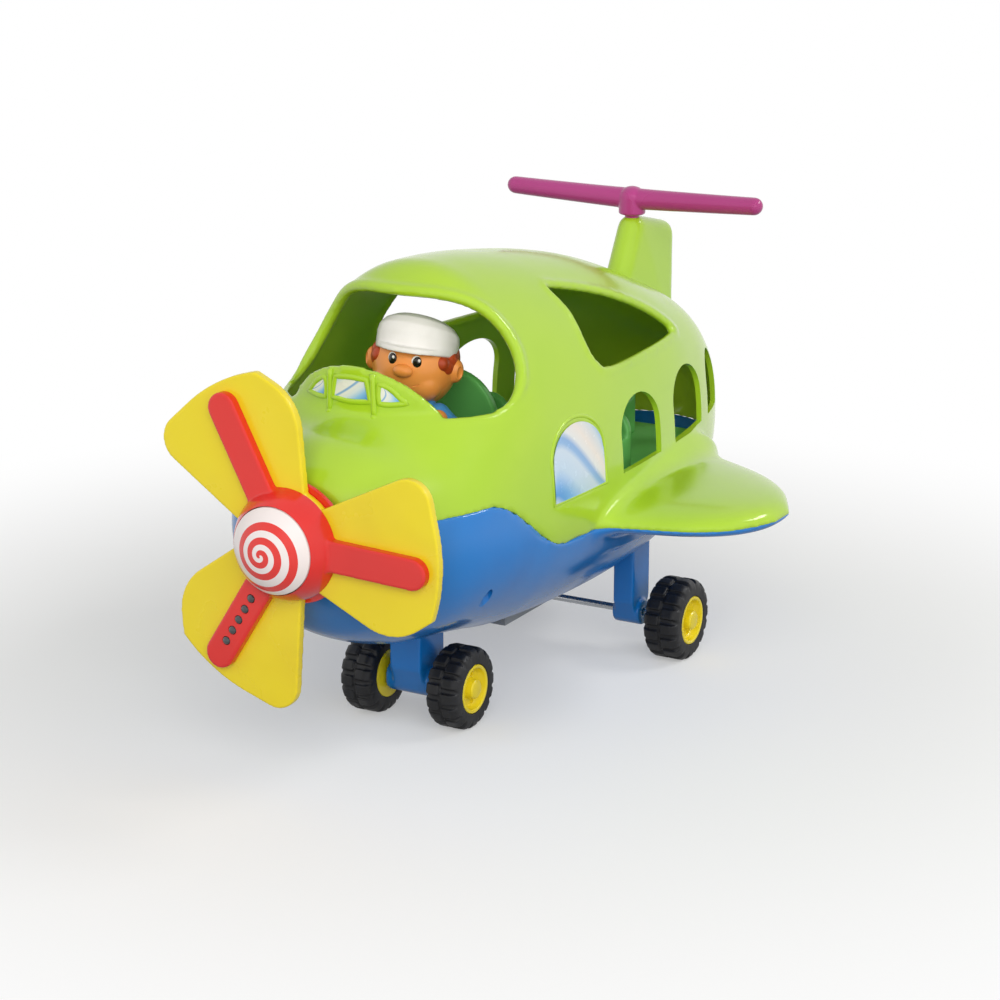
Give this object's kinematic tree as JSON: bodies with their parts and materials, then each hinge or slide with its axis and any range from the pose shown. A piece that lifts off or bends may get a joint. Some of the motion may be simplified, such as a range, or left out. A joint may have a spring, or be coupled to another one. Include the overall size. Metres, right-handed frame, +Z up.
{
  "type": "toy airplane",
  "caption": "Push-along toy airplane with a spinning lit propeller, open cabin with seats, lift-out pilot, free-rolling wheels and a T-bar tail handle.",
  "frame": {"origin": "on the floor, under the middle of the length and of the span", "axes": "+Z up, -Y toward the propeller, +X to the port wing"},
  "size_m": [0.298, 0.42, 0.237],
  "materials": {
    "lime_plastic": "gloss moulded",
    "blue_plastic": "gloss moulded",
    "window_print": "printed film",
    "purple_plastic": "gloss moulded",
    "emerald_plastic": "gloss moulded",
    "yellow_plastic": "gloss moulded",
    "red_plastic": "gloss moulded",
    "white_print": "moulded with a printed spiral",
    "clear_lens": "clear moulded",
    "circuit": "printed board",
    "pad_rubber": "matt",
    "bright_steel": "bright",
    "brass_ring": "bright",
    "natural_nylon": "natural",
    "grey_plastic": "matt moulded",
    "speaker_black": "matt",
    "cell_wrap": "plain wrap",
    "tyre_black": "satin moulded",
    "shirt_blue": "soft vinyl",
    "skin_tan": "soft vinyl",
    "cap_white": "soft vinyl"
  },
  "bodies": {
    "airframe": {"upper_shell": "lime_plastic", "lower_shell": "blue_plastic", "dash_stickers": "window_print", "side_stickers": "window_print", "tail_handle": "purple_plastic", "shell_screws": "bright_steel", "cabin_tray": "emerald_plastic", "pilot_seat": "emerald_plastic", "left_seat": "emerald_plastic", "right_seat": "emerald_plastic", "rear_seat": "emerald_plastic", "gearbox_frame": "grey_plastic", "front_bush": "natural_nylon", "rear_bush": "natural_nylon", "gearbox_screws": "bright_steel", "brush_block": "grey_plastic", "motor_can": "bright_steel", "nose_strut": "blue_plastic", "left_leg": "blue_plastic", "right_leg": "blue_plastic", "leg_screws": "bright_steel", "battery_box": "grey_plastic", "box_screws": "bright_steel", "battery_cells": "cell_wrap", "battery_contacts": "bright_steel", "battery_door": "blue_plastic", "door_screw": "bright_steel", "circuit_board": "circuit", "speaker": "speaker_black", "speaker_ring": "grey_plastic", "switch_body": "grey_plastic"},
    "propeller": {"propeller_blades": "yellow_plastic", "propeller_hub": "red_plastic", "back_collar": "red_plastic", "prop_shaft": "bright_steel", "drive_gear": "natural_nylon", "slip_ring": "brass_ring", "lamp_board": "circuit", "lamp_lenses": "clear_lens", "button_pad": "pad_rubber", "hub_screws": "bright_steel"},
    "button": {"spiral_button": "white_print"},
    "motor_rotor": {"motor_shaft": "bright_steel", "motor_pinion": "natural_nylon"},
    "nose_wheels": {"nose_axle": "bright_steel", "nose_tyre_left": "tyre_black", "nose_tyre_right": "tyre_black", "nose_hub_left": "yellow_plastic", "nose_hub_right": "yellow_plastic"},
    "main_wheels": {"main_axle": "bright_steel", "main_tyre_left": "tyre_black", "main_tyre_right": "tyre_black", "main_hub_left": "yellow_plastic", "main_hub_right": "yellow_plastic"},
    "pilot": {"pilot_body": "shirt_blue", "pilot_head": "skin_tan", "pilot_cap": "cap_white"},
    "switch_knob": {"power_switch": "red_plastic"}
  },
  "joints": [
    {"name": "propeller_spin", "type": "hinge", "parent": "airframe", "child": "propeller", "pos_m": [0, -0.1895, 0.122], "axis": [0, 1, 0], "continuous": true},
    {"name": "button_press", "type": "slide", "parent": "propeller", "child": "button", "axis": [0, 1, 0], "range_m": [0, 0.0025], "stiffness_N_per_m": 600, "springref_m": -0.001},
    {"name": "motor_spin", "type": "hinge", "parent": "airframe", "child": "motor_rotor", "pos_m": [0, -0.1565, 0.1445], "axis": [0, 1, 0], "continuous": true},
    {"name": "nose_wheels_spin", "type": "hinge", "parent": "airframe", "child": "nose_wheels", "pos_m": [0, -0.0745, 0.021], "axis": [1, 0, 0], "continuous": true},
    {"name": "main_wheels_spin", "type": "hinge", "parent": "airframe", "child": "main_wheels", "pos_m": [0, 0.07199, 0.022], "axis": [1, 0, 0], "continuous": true},
    {"name": "pilot_lift", "type": "slide", "parent": "airframe", "child": "pilot", "axis": [0, 0, 1], "range_m": [0, 0.014]},
    {"name": "switch_slide", "type": "slide", "parent": "airframe", "child": "switch_knob", "axis": [0, 1, 0], "range_m": [0, 0.006]}
  ],
  "couplings": [
    {"joint": "motor_spin", "follows": "propeller_spin", "ratio": -4}
  ]
}
